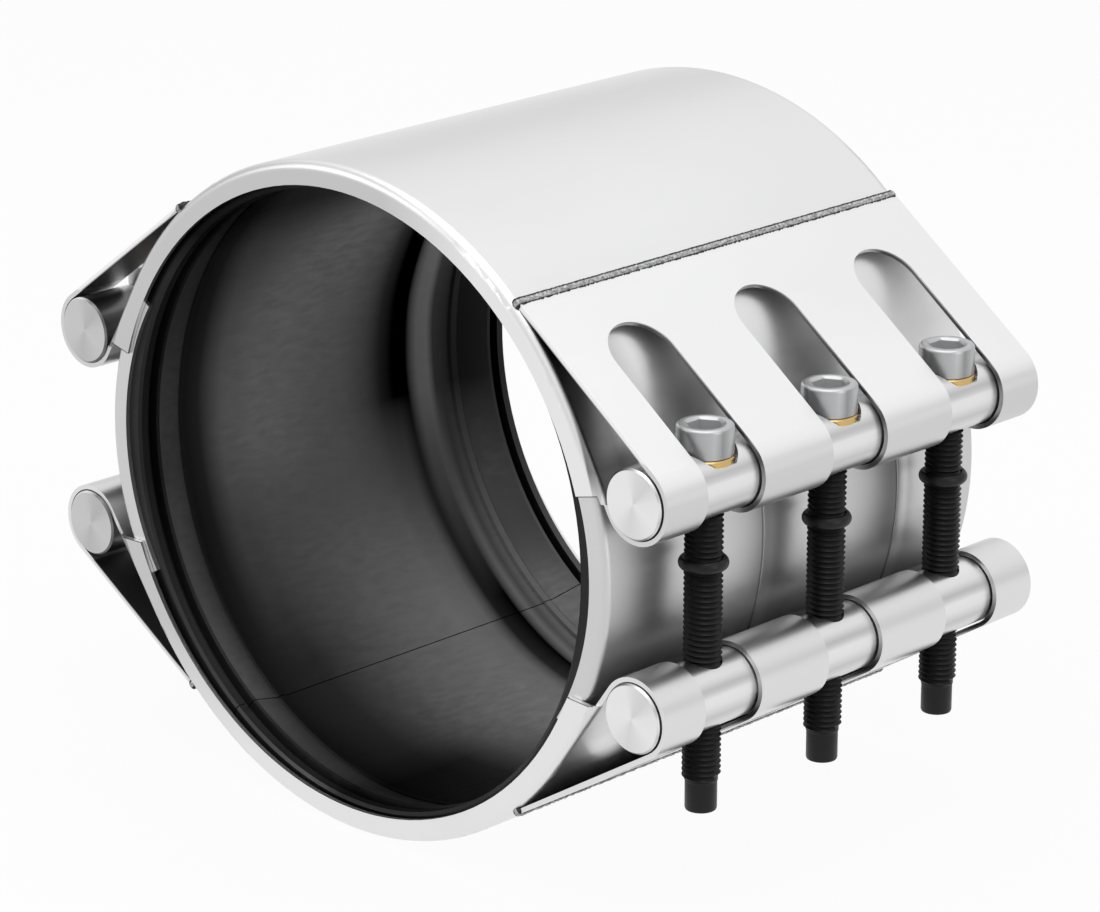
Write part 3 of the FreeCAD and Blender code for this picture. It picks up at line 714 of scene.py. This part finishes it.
@dataclass(frozen=True)
class TurnedBarPaintedLight:
    """Turned end faces and satin flanks of one lock bar, with painted reflections and painted shade; sizes in
    millimetres.
    """

    across: float
    up: float
    colour: Triple = (0.80, 0.80, 0.805)
    roughness: float = 0.30
    cone: float = 0.10
    wobble: float = 0.02
    wobble_scale: float = 60.0
    grain_scale: float = 220.0
    grain_stretch: Triple = (1, 0.2, 1)
    grain_spread: float = 0.015
    # painted shade on the left bars' end faces; the share below is painted shade on the flanks' inward sides
    left_face_shade: float = 0.70
    sheltered_share: float = 0.22
    sheltered: Pair = (-0.2, 0.3)
    end_facing: Pair = (0.8, 0.95)
    # painted reflection sectors on the end faces, by the angle round the axis
    reflection_fan: tuple[Pair, ...] = (
        (0.0, 1.0), (0.10, 0.98), (0.22, 0.84), (0.30, 0.90), (0.42, 1.0), (0.55, 0.96), (0.64, 0.80),
        (0.72, 0.84), (0.80, 0.97), (1.0, 1.0),
    )
    # painted reflection bands round the flanks, by the tilt from the horizontal
    reflection_bands: tuple[Pair, ...] = (
        (0.0, 0.7), (0.18, 0.60), (0.30, 0.86), (0.40, 0.70), (0.50, 0.95), (0.58, 1.0), (0.66, 0.74),
        (0.74, 0.92), (0.86, 1.0), (1.0, 1.0),
    )

    def build(self, name: str) -> bpy.types.Material:
        """Makes the material.

        Args:
            name: Material's name.

        Returns:
            A material whose relief, painted reflections and painted shade run round the bar's own axis.
        """
        surface = Surface(name, self.colour, {"Metallic": 1.0})
        place = surface.axes()
        across, above = surface.less(place["X"], self.across * MM), surface.less(place["Z"], self.up * MM)
        radius = surface.reach(across, above)
        wobble = surface.product(surface.noise(self.wobble_scale, detail=1.0), self.wobble * MM)
        surface.bump(surface.math("ADD", surface.product(radius, -self.cone), wobble))
        grain = surface.noise(self.grain_scale, self.grain_stretch)
        levels = (self.roughness - self.grain_spread, self.roughness + self.grain_spread)
        surface.drive("Roughness", surface.span(grain, *NOISE_RANGE, *levels))
        turn = surface.math("ARCTAN2", above, across)
        reflection_fan = surface.ramp(surface.span(turn, -math.pi, math.pi), self.reflection_fan)
        face = surface.product(reflection_fan, self.left_face_shade if self.across < 0 else 1.0)
        tilt = surface.math("ARCTAN2", above, surface.size(across))
        reflection_bands = surface.ramp(surface.span(tilt, -math.pi / 2, math.pi / 2), self.reflection_bands)
        inward = surface.math("DIVIDE", surface.product(across, -math.copysign(1.0, self.across)), radius)
        flank = surface.product(reflection_bands, surface.span(inward, *self.sheltered, 1.0, self.sheltered_share))
        end = surface.span(surface.size(surface.axes("Normal")["Y"]), *self.end_facing)
        surface.tint(surface.mix(end, face, flank))
        return surface.material


class Workshop:
    """Helpers that turn point lists and trees into finished plain meshes."""

    @staticmethod
    def piece(
        name: str, form: bmesh.types.BMesh, materials: Sequence[bpy.types.Material], limit: float = 32.0
    ) -> bpy.types.Object:
        """Makes a smooth shaded object whose edges above an angle stay sharp.

        Args:
            name: Object's name.
            form: Mesh in metres, in the frame's coordinates. It is freed.
            materials: Materials in slot order.
            limit: Largest angle, in degrees, that is shaded smooth.

        Returns:
            The object, at the origin.
        """
        for face in form.faces:
            face.smooth = True
        for edge in form.edges:
            if len(edge.link_faces) == 2:
                edge.smooth = edge.calc_face_angle(0.0) < math.radians(limit)
        mesh = bpy.data.meshes.new(name)
        form.to_mesh(mesh)
        form.free()
        for material in materials:
            mesh.materials.append(material)
        item = bpy.data.objects.new(name, mesh)
        bpy.context.scene.collection.objects.link(item)
        return item

    @staticmethod
    def ring_stack(
        form: bmesh.types.BMesh, rings: Sequence[tuple[Radius, float, Zone]], segments: int
    ) -> None:
        """Joins rings about the Z axis into a skin, closed by a point at both ends.

        Args:
            form: Mesh to add to, in millimetres.
            rings: Radius as a function of the angle, height, and zone of the band that ends there.
            segments: Points in each ring.
        """
        loops = []
        for radius, height, _ in rings:
            angles = (2 * math.pi * step / segments for step in range(segments))
            loops.append([
                form.verts.new((radius(angle) * math.cos(angle), radius(angle) * math.sin(angle), height))
                for angle in angles
            ])
        for before, after, (_, _, zone) in zip(loops, loops[1:], rings[1:]):
            for step in range(segments):
                following = (step + 1) % segments
                face = form.faces.new((before[step], before[following], after[following], after[step]))
                face.material_index = zone
        for loop, first, zone in ((loops[0], 1, rings[0][2]), (loops[-1], 0, rings[-1][2])):
            centre = form.verts.new((0, 0, loop[0].co.z))
            for step in range(segments):
                corners = (loop[(step + first) % segments], loop[(step + 1 - first) % segments], centre)
                form.faces.new(corners).material_index = zone

    @staticmethod
    def grown(name: str, tree: bpy.types.NodeTree, inputs: dict[str, object]) -> bpy.types.Mesh:
        """Runs a Geometry Nodes tree once and keeps its plain mesh.

        Args:
            name: Mesh's name.
            tree: Geometry tree with named inputs.
            inputs: Input name to value.

        Returns:
            The resulting mesh.
        """
        carrier = bpy.data.objects.new(name + "_carrier", bpy.data.meshes.new(name + "_seed"))
        bpy.context.scene.collection.objects.link(carrier)
        modifier = carrier.modifiers.new("grow", "NODES")
        modifier.node_group = tree
        for item in tree.interface.items_tree:
            if item.item_type == "SOCKET" and item.in_out == "INPUT" and item.name in inputs:
                modifier[item.identifier] = inputs[item.name]
        bpy.context.view_layer.update()
        depsgraph = bpy.context.evaluated_depsgraph_get()
        mesh = bpy.data.meshes.new_from_object(carrier.evaluated_get(depsgraph), depsgraph=depsgraph)
        mesh.name = name
        carrier.modifiers.remove(modifier)
        bpy.data.objects.remove(carrier)
        return mesh


class GeometryTree:
    """Geometry Nodes tree with named inputs that ends in realised, dressed geometry."""

    def __init__(self, name: str, inputs: dict[str, tuple[str, object]]) -> None:
        """Makes the empty tree.

        Args:
            name: Tree's name.
            inputs: Input name to socket type and default.
        """
        self.tree = bpy.data.node_groups.new(name, "GeometryNodeTree")
        self.graph = Graph(self.tree)
        for label, (kind, value) in inputs.items():
            socket = self.tree.interface.new_socket(label, in_out="INPUT", socket_type=kind)
            if value is not None:
                socket.default_value = value
        self.tree.interface.new_socket("Geometry", in_out="OUTPUT", socket_type="NodeSocketGeometry")
        self.given = self.tree.nodes.new("NodeGroupInput").outputs

    def close(self, geometry: Socket) -> bpy.types.NodeTree:
        """Ends the tree.

        Args:
            geometry: Socket with the finished geometry.

        Returns:
            The tree.
        """
        realised = self.graph.add("GeometryNodeRealizeInstances", {0: geometry}).outputs[0]
        inputs = {"Geometry": realised, "Material": self.given["Material"]}
        dressed = self.graph.add("GeometryNodeSetMaterial", inputs)
        self.graph.add("NodeGroupOutput", {0: dressed.outputs[0]})
        return self.tree


def circle(radius: float) -> Radius:
    """Radius of a circle by angle."""
    return lambda angle: radius


def hexagon(flats: float) -> Radius:
    """Radius of a hexagon by angle, from its width across flats."""
    sixth = math.pi / 3
    return lambda angle: flats / 2 / math.cos((angle + sixth / 2) % sixth - sixth / 2)


@dataclass
class ScrewSet:
    """Six socket-head screws with cut threads; sizes in millimetres."""

    materials: dict[str, bpy.types.Material]
    seat: float = 39.21
    head_radius: float = 8.75
    head_height: float = 9.5
    head_foot: float = 0.4
    head_round: float = 1.2
    round_steps: int = 5
    socket_flats: float = 10.0
    socket_depth: float = 5.5
    socket_mouth: tuple[Pair, ...] = ((0.55, 0.0), (0.35, 0.12))
    socket_edge: float = 0.75
    drill_radius: float = 0.5
    drill_depth: float = 1.1
    shank: float = 113.5
    neck: Pair = (2.4, 1.6)
    neck_radius: float = 5.9
    pilot: float = 9.5
    pilot_radius: float = 4.95
    pilot_step: float = 0.3
    tip: tuple[Pair, ...] = ((0.8, 0.0), (0.2, 0.25), (0.0, 0.8))
    thread_start: float = 1.2
    thread_end: float = 3.0
    crest: float = 6.0
    root: float = 5.15
    pitch: float = 1.75
    ridge: float = 0.84
    turn_points: int = 26
    segments: int = 96

    def thread_tree(self) -> bpy.types.NodeTree:
        """Builds the tree that winds a ridge up the shank.

        Returns:
            The tree.
        """
        kit = GeometryTree("thread_ridge", {
            "Turns": ("NodeSocketFloat", 50.0),
            "Radius": ("NodeSocketFloat", 0.0054),
            "Height": ("NodeSocketFloat", 0.09),
            "Ridge": ("NodeSocketFloat", 0.0008),
            "Material": ("NodeSocketMaterial", None),
        })
        graph, given = kit.graph, kit.given
        helix = graph.add("GeometryNodeCurveSpiral", {
            "Resolution": self.turn_points, "Rotations": given["Turns"], "Start Radius": given["Radius"],
            "End Radius": given["Radius"], "Height": given["Height"],
        })
        upright = graph.add("GeometryNodeSetCurveNormal", {"Curve": helix.outputs[0]}, mode="Z_UP")
        corners = {"Resolution": 4, "Radius": given["Ridge"]}
        profile = graph.add("GeometryNodeCurvePrimitiveCircle", corners, mode="RADIUS")
        ridge = graph.add("GeometryNodeCurveToMesh", {
            "Curve": upright.outputs[0], "Profile Curve": profile.outputs[0], "Fill Caps": True,
        })
        return kit.close(ridge.outputs[0])

    def ridge_mesh(self) -> bpy.types.Mesh:
        """Runs the thread's tree for one screw whose seat is at height zero.

        Returns:
            The ridge's mesh, in metres.
        """
        length = self.shank - self.pilot - self.thread_start - self.thread_end
        mesh = Workshop.grown("thread_ridge", self.thread_tree(), {
            "Turns": length / self.pitch,
            "Radius": (self.crest - self.ridge) * MM,
            "Height": length * MM,
            "Ridge": self.ridge * MM,
            "Material": self.materials["thread"],
        })
        reach = max(math.hypot(vertex.co.x, vertex.co.y) for vertex in mesh.vertices)
        share = self.crest * MM / reach
        foot = (self.pilot + self.thread_start - self.shank) * MM
        mesh.transform(Matrix.Translation((0, 0, foot)) @ Matrix.Diagonal((share, share, 1.0, 1.0)))
        return mesh

    def profile(self) -> list[tuple[Radius, float, Zone]]:
        """Rings from the tip up over the head and down into the socket; height zero is the seat.

        Returns:
            Radius by angle, height and zone of each ring.
        """
        foot, top, floor = -self.shank, self.head_height, self.head_height - self.socket_depth
        rings = [(circle(self.pilot_radius - inset), foot + rise, Zone.THREAD) for inset, rise in self.tip]
        rings += [
            (circle(self.pilot_radius), foot + self.pilot, Zone.THREAD),
            (circle(self.root), foot + self.pilot + self.pilot_step, Zone.THREAD),
            (circle(self.root), -self.neck[0], Zone.THREAD),
            (circle(self.neck_radius), -self.neck[1], Zone.THREAD),
            (circle(self.neck_radius), 0.0, Zone.THREAD),
            (circle(self.head_radius - self.head_foot), 0.0, Zone.HEAD),
            (circle(self.head_radius), self.head_foot, Zone.HEAD),
            (circle(self.head_radius), top - self.head_round, Zone.HEAD),
        ]
        for step in range(1, self.round_steps + 1):
            angle = math.pi / 2 * step / self.round_steps
            inset, drop = self.head_round * (1 - math.cos(angle)), self.head_round * (1 - math.sin(angle))
            rings.append((circle(self.head_radius - inset), top - drop, Zone.HEAD))
        corner = self.socket_flats / math.sqrt(3)
        rings += [(circle(corner + beyond), top - drop, Zone.HEAD) for beyond, drop in self.socket_mouth]
        rings += [
            (hexagon(self.socket_flats), top - self.socket_edge, Zone.HEAD),
            (hexagon(self.socket_flats), floor, Zone.SOCKET),
            (circle(self.drill_radius), floor - self.drill_depth, Zone.SOCKET),
        ]
        return rings

    def build(self) -> None:
        """Makes, dresses and places the six screws."""
        ridge = self.ridge_mesh()
        finishes = [self.materials[zone.name.lower()] for zone in Zone]
        for side in Side:
            for station in Station:
                form = bmesh.new()
                Workshop.ring_stack(form, self.profile(), self.segments)
                bmesh.ops.scale(form, vec=(MM, MM, MM), verts=form.verts)
                known = len(form.faces)
                form.from_mesh(ridge)
                form.faces.ensure_lookup_table()
                for face in form.faces[known:]:
                    face.material_index = Zone.THREAD
                place = Vector((SCREW_OFFSET * side.value, SCREW_SPACING * station.value, self.seat)) * MM
                bmesh.ops.translate(form, vec=place, verts=form.verts)
                node = f"{side.word}_{station.word}_screw"
                item = Workshop.piece(node + "_cut", form, finishes)
                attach(item, node + "_turning")
                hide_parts(node)
                LOG.info("screw %s: %d faces", node, len(item.data.polygons))
        bpy.data.meshes.remove(ridge)


@dataclass
class WeldBeads:
    """Rippled weld beads along the four strap ends; sizes in millimetres and degrees."""

    angle: float = 48.0
    strap_sink: float = 1.5
    stand_out: float = 0.5
    length: float = 171.0
    step: float = 0.5
    ripple: float = 1.85
    ripple_shape: Triple = (1.0, 0.45, 0.92)
    smallest: Triple = (0.90, 0.8, 0.92)
    largest: Triple = (1.08, 1.2, 1.06)
    jitter: Triple = (0.08, 0.1, 0.06)
    seed: int = 7
    toe: Pair = (0.65, 0.9)
    toe_shade: float = 0.12
    smooth_limit: float = 80.0

    def material(self, casing: CasingSizes) -> bpy.types.Material:
        """Makes the weld's finish, with painted shade along both toes of the bead.

        Args:
            casing: Casing half that the bead is on.

        Returns:
            The material.
        """
        surface = WELD.surface(casing.half.word + "_weld_metal")
        across, up = self.place(casing)
        place = surface.axes()
        angle = surface.math("ARCTAN2", surface.size(place["Z"]), surface.size(place["X"]))
        aside = surface.size(surface.less(angle, math.atan2(up, across)))
        arc = surface.product(aside, math.hypot(across, up) * MM)
        # painted shade where the bead meets the strap
        surface.tint(surface.span_mm(arc, self.toe, 1.0, self.toe_shade))
        return surface.material

    def tree(self) -> bpy.types.NodeTree:
        """Builds the tree that lays one ripple after another along Y.

        Returns:
            The tree.
        """
        kit = GeometryTree("weld_ripples", {
            "Length": ("NodeSocketFloat", 0.17),
            "Step": ("NodeSocketFloat", 0.001),
            "Ripple": ("NodeSocketFloat", 0.0014),
            "Seed": ("NodeSocketInt", 7),
            "Material": ("NodeSocketMaterial", None),
        })
        graph, given = kit.graph, kit.given
        count = graph.math("FLOOR", graph.math("DIVIDE", given["Length"], given["Step"]))
        start = graph.add("ShaderNodeCombineXYZ", {"Y": graph.product(given["Length"], -0.5)}).outputs[0]
        stride = graph.add("ShaderNodeCombineXYZ", {"Y": given["Step"]}).outputs[0]
        line = graph.add("GeometryNodeMeshLine", {
            "Count": count, "Start Location": start, "Offset": stride,
        }, mode="OFFSET", count_mode="TOTAL")
        jitter = graph.add("FunctionNodeRandomValue", {
            "Min": [-part * MM for part in self.jitter], "Max": [part * MM for part in self.jitter],
            "Seed": given["Seed"],
        }, data_type="FLOAT_VECTOR")
        moved = graph.add("GeometryNodeSetPosition", {
            "Geometry": line.outputs[0], "Offset": jitter.outputs[0],
        })
        ball = graph.add("GeometryNodeMeshIcoSphere", {"Radius": given["Ripple"], "Subdivisions": 2})
        flat = graph.add("GeometryNodeTransform", {"Geometry": ball.outputs[0], "Scale": self.ripple_shape})
        size = graph.add("FunctionNodeRandomValue", {
            "Min": self.smallest, "Max": self.largest, "Seed": given["Seed"],
        }, data_type="FLOAT_VECTOR")
        ripples = graph.add("GeometryNodeInstanceOnPoints", {
            "Points": moved.outputs[0], "Instance": flat.outputs[0], "Scale": size.outputs[0],
        })
        return kit.close(ripples.outputs[0])

    def place(self, casing: CasingSizes) -> Pair:
        """Middle of a bead in the section, for the half drawn arc upwards at the right.

        Args:
            casing: Casing half.

        Returns:
            Distance from the middle plane and height.
        """
        angle = math.radians(self.angle)
        edge_across = casing.radius * math.cos(angle)
        edge_up = casing.radius * math.sin(angle) - casing.arc_drop
        over, above = edge_across - casing.loop_offset, edge_up - casing.bar_height
        slant = math.atan2(above, over) - math.acos(casing.loop_inner / math.hypot(over, above))
        across = edge_across - self.strap_sink * math.sin(slant) + self.stand_out * math.cos(slant)
        up = edge_up + self.strap_sink * math.cos(slant) + self.stand_out * math.sin(slant)
        return across, up + casing.lift

    def build(self) -> None:
        """Makes the four beads and lays each on its strap's end."""
        mesh = Workshop.grown("weld_ripples", self.tree(), {
            "Length": self.length * MM, "Step": self.step * MM, "Ripple": self.ripple * MM,
            "Seed": self.seed, "Material": None,
        })
        for half, casing in CASINGS.items():
            metal = self.material(casing)
            for side in Side:
                form = bmesh.new()
                form.from_mesh(mesh)
                across, up = self.place(casing)
                across, up = across * side.value, up * half.value
                turn = Matrix.Rotation(math.pi / 2 - math.atan2(up, across), 4, "Y")
                bmesh.ops.transform(form, matrix=turn, verts=form.verts)
                bmesh.ops.translate(form, vec=(across * MM, 0, up * MM), verts=form.verts)
                name = f"{side.word}_{half.word}_weld"
                item = Workshop.piece(name, form, [metal], self.smooth_limit)
                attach(item, half.body)
                LOG.info("weld %s: %d faces", name, len(item.data.polygons))
        bpy.data.meshes.remove(mesh)


@dataclass
class CarriedNodes:
    """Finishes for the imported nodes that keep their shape."""

    materials: dict[str, bpy.types.Material]
    keys: dict[str, str] = field(default_factory=lambda: {
        "upper_casing": "upper_sheet", "lower_casing": "lower_sheet", "bridge_plate": "plate",
        "sleeve": "rubber", "_bar": "bar", "washer": "brass", "captive_ring": "ring",
    })

    def dress(self) -> None:
        """Gives every kept node its finish."""
        for name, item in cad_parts.items():
            key = next((key for part, key in self.keys.items() if part in name), "")
            if key:
                item.data.materials.clear()
                item.data.materials.append(self.turned(name) if key == "bar" else self.materials[key])
                LOG.info("node %s: %s", name, key)

    @staticmethod
    def turned(name: str) -> bpy.types.Material:
        """Turned finish with painted reflections and shade about the axis of one bar, found from its box.

        Args:
            name: Bar's node name.

        Returns:
            The material.
        """
        low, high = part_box(name)
        across, up = (low[0] + high[0]) / 2 / MM, (low[2] + high[2]) / 2 / MM
        return TurnedBarPaintedLight(across, up).build(name + "_turned_painted_light")


@dataclass(frozen=True)
class Lamp:
    """Soft box that faces the object; lengths in metres, power in watts."""

    name: str
    place: Triple
    size: Pair
    power: float

    def hang(self) -> None:
        """Adds the lamp to the scene."""
        data = bpy.data.lights.new(self.name, "AREA")
        data.shape = "RECTANGLE"
        data.size, data.size_y = self.size
        data.energy = self.power
        item = bpy.data.objects.new(self.name, data)
        item.location = self.place
        item.rotation_euler = (-Vector(self.place)).to_track_quat("-Z", "Y").to_euler()
        bpy.context.scene.collection.objects.link(item)


@dataclass
class Studio:
    """Camera, floor and light; lengths in metres."""

    azimuth: float = 44.49
    elevation: float = 18.63
    place: Triple = (0.94643, -0.95794, 0.44963)
    focal_pixels: float = 4367.66
    image_width: float = 1100.0
    sensor: float = 36.0
    clip_end: float = 50.0
    floor_reach: float = 6.0
    floor_grey: float = 0.86
    floor_white: float = 0.93
    horizon: tuple[Pair, ...] = ((0.0, 1.0), (0.53, 1.0), (0.58, 0.70), (0.66, 0.78), (0.75, 1.0))
    sky_light: float = 0.55
    lamps: tuple[Lamp, ...] = (
        Lamp("top_box", (0.1, -0.2, 1.5), (1.6, 1.6), 11.0),
        Lamp("left_box", (-1.2, -1.2, 0.7), (1.0, 1.0), 5.5),
        Lamp("right_box", (1.5, 0.1, 0.5), (0.6, 1.2), 3.5),
    )

    def camera(self) -> None:
        """Sets the camera at the photograph's place."""
        data = bpy.data.cameras.new("camera")
        data.sensor_width = self.sensor
        data.lens = self.focal_pixels / self.image_width * self.sensor
        data.clip_end = self.clip_end
        item = bpy.data.objects.new("camera", data)
        item.location = self.place
        item.rotation_euler = (math.radians(90 - self.elevation), 0.0, math.radians(self.azimuth))
        bpy.context.scene.collection.objects.link(item)
        bpy.context.scene.camera = item

    @staticmethod
    def seen(graph: Graph) -> Socket:
        """Whether a ray comes from the camera or from a mirror or glass in front of it.

        Args:
            graph: Graph of the material's or world's tree.

        Returns:
            Socket that is 1 for such rays and 0 for others.
        """
        path = graph.add("ShaderNodeLightPath").outputs
        both = graph.math("ADD", path["Is Camera Ray"], path["Is Glossy Ray"])
        return graph.math("ADD", both, path["Is Transmission Ray"], clamp=True)

    def floor(self) -> None:
        """Lays a pale floor under the lowest point."""
        reach, low = self.floor_reach, CAD_BOX[0][2]
        form = bmesh.new()
        signs = ((-1, -1), (1, -1), (1, 1), (-1, 1))
        form.faces.new([form.verts.new((x * reach, y * reach, low)) for x, y in signs])
        surface = Surface("pale_floor", (self.floor_grey,) * 3, {"Roughness": 0.9})
        glow = surface.add("ShaderNodeEmission", {"Color": (1, 1, 1, 1), "Strength": 1.0})
        share = surface.product(self.seen(surface), self.floor_white)
        inputs = {0: share, 1: surface.shader.outputs[0], 2: glow.outputs[0]}
        mixed = surface.add("ShaderNodeMixShader", inputs)
        output = surface.tree.nodes["Material Output"]
        surface.tree.links.new(mixed.outputs[0], output.inputs["Surface"])
        Workshop.piece("floor", form, [surface.material])

    def world(self) -> None:
        """Fills the surroundings with white that softens above the horizon for reflections."""
        world = bpy.data.worlds.new("studio")
        bpy.context.scene.world = world
        world.use_nodes = True
        world.node_tree.nodes.clear()
        graph = Graph(world.node_tree)
        height = graph.math("MULTIPLY_ADD", graph.axes("Generated")["Z"], 0.5, 0.5)
        tone = graph.ramp(height, self.horizon)
        shown = graph.add("ShaderNodeBackground", {"Color": tone, "Strength": 1.0})
        soft = graph.add("ShaderNodeBackground", {"Color": (1, 1, 1, 1), "Strength": self.sky_light})
        inputs = {0: self.seen(graph), 1: soft.outputs[0], 2: shown.outputs[0]}
        mixed = graph.add("ShaderNodeMixShader", inputs)
        graph.add("ShaderNodeOutputWorld", {0: mixed.outputs[0]})

    def build(self) -> None:
        """Sets up the whole studio."""
        self.camera()
        self.floor()
        self.world()
        for lamp in self.lamps:
            lamp.hang()
        bpy.context.scene.view_settings.view_transform = "Standard"


def main() -> None:
    """Builds every piece, dresses the kept nodes and sets up the studio."""
    logging.basicConfig(level=logging.INFO, format="%(name)s: %(message)s")
    # The halves differ in painted shade: the lower straps darker, the upper loops and the right side under
    # the upper straps dimmer.
    upper = SheetShade(
        CASINGS[Half.UPPER], rim_end=27.37, rim_across=101.5, rim_tilt=14.0, strap=1.0, loop_turn=0.74,
        under_right=0.28,
    )
    lower = SheetShade(
        CASINGS[Half.LOWER], rim_end=36.47, rim_across=98.1, rim_tilt=3.0, strap=0.86, loop_turn=1.0,
        under_right=1.0,
    )
    materials = {
        "upper_sheet": upper.build(SHEET), "lower_sheet": lower.build(SHEET),
        "plate": RibShade().build(PLATE), "head": HeadShade().build(HEAD), "thread": THREAD.build(),
        "socket": SOCKET.build(), "brass": BRASS.build(), "ring": RING.build(),
        "rubber": SleeveShade().build(RUBBER),
    }
    CarriedNodes(materials).dress()
    ScrewSet(materials).build()
    WeldBeads().build()
    Studio().build()


if __name__ == "__main__":
    main()
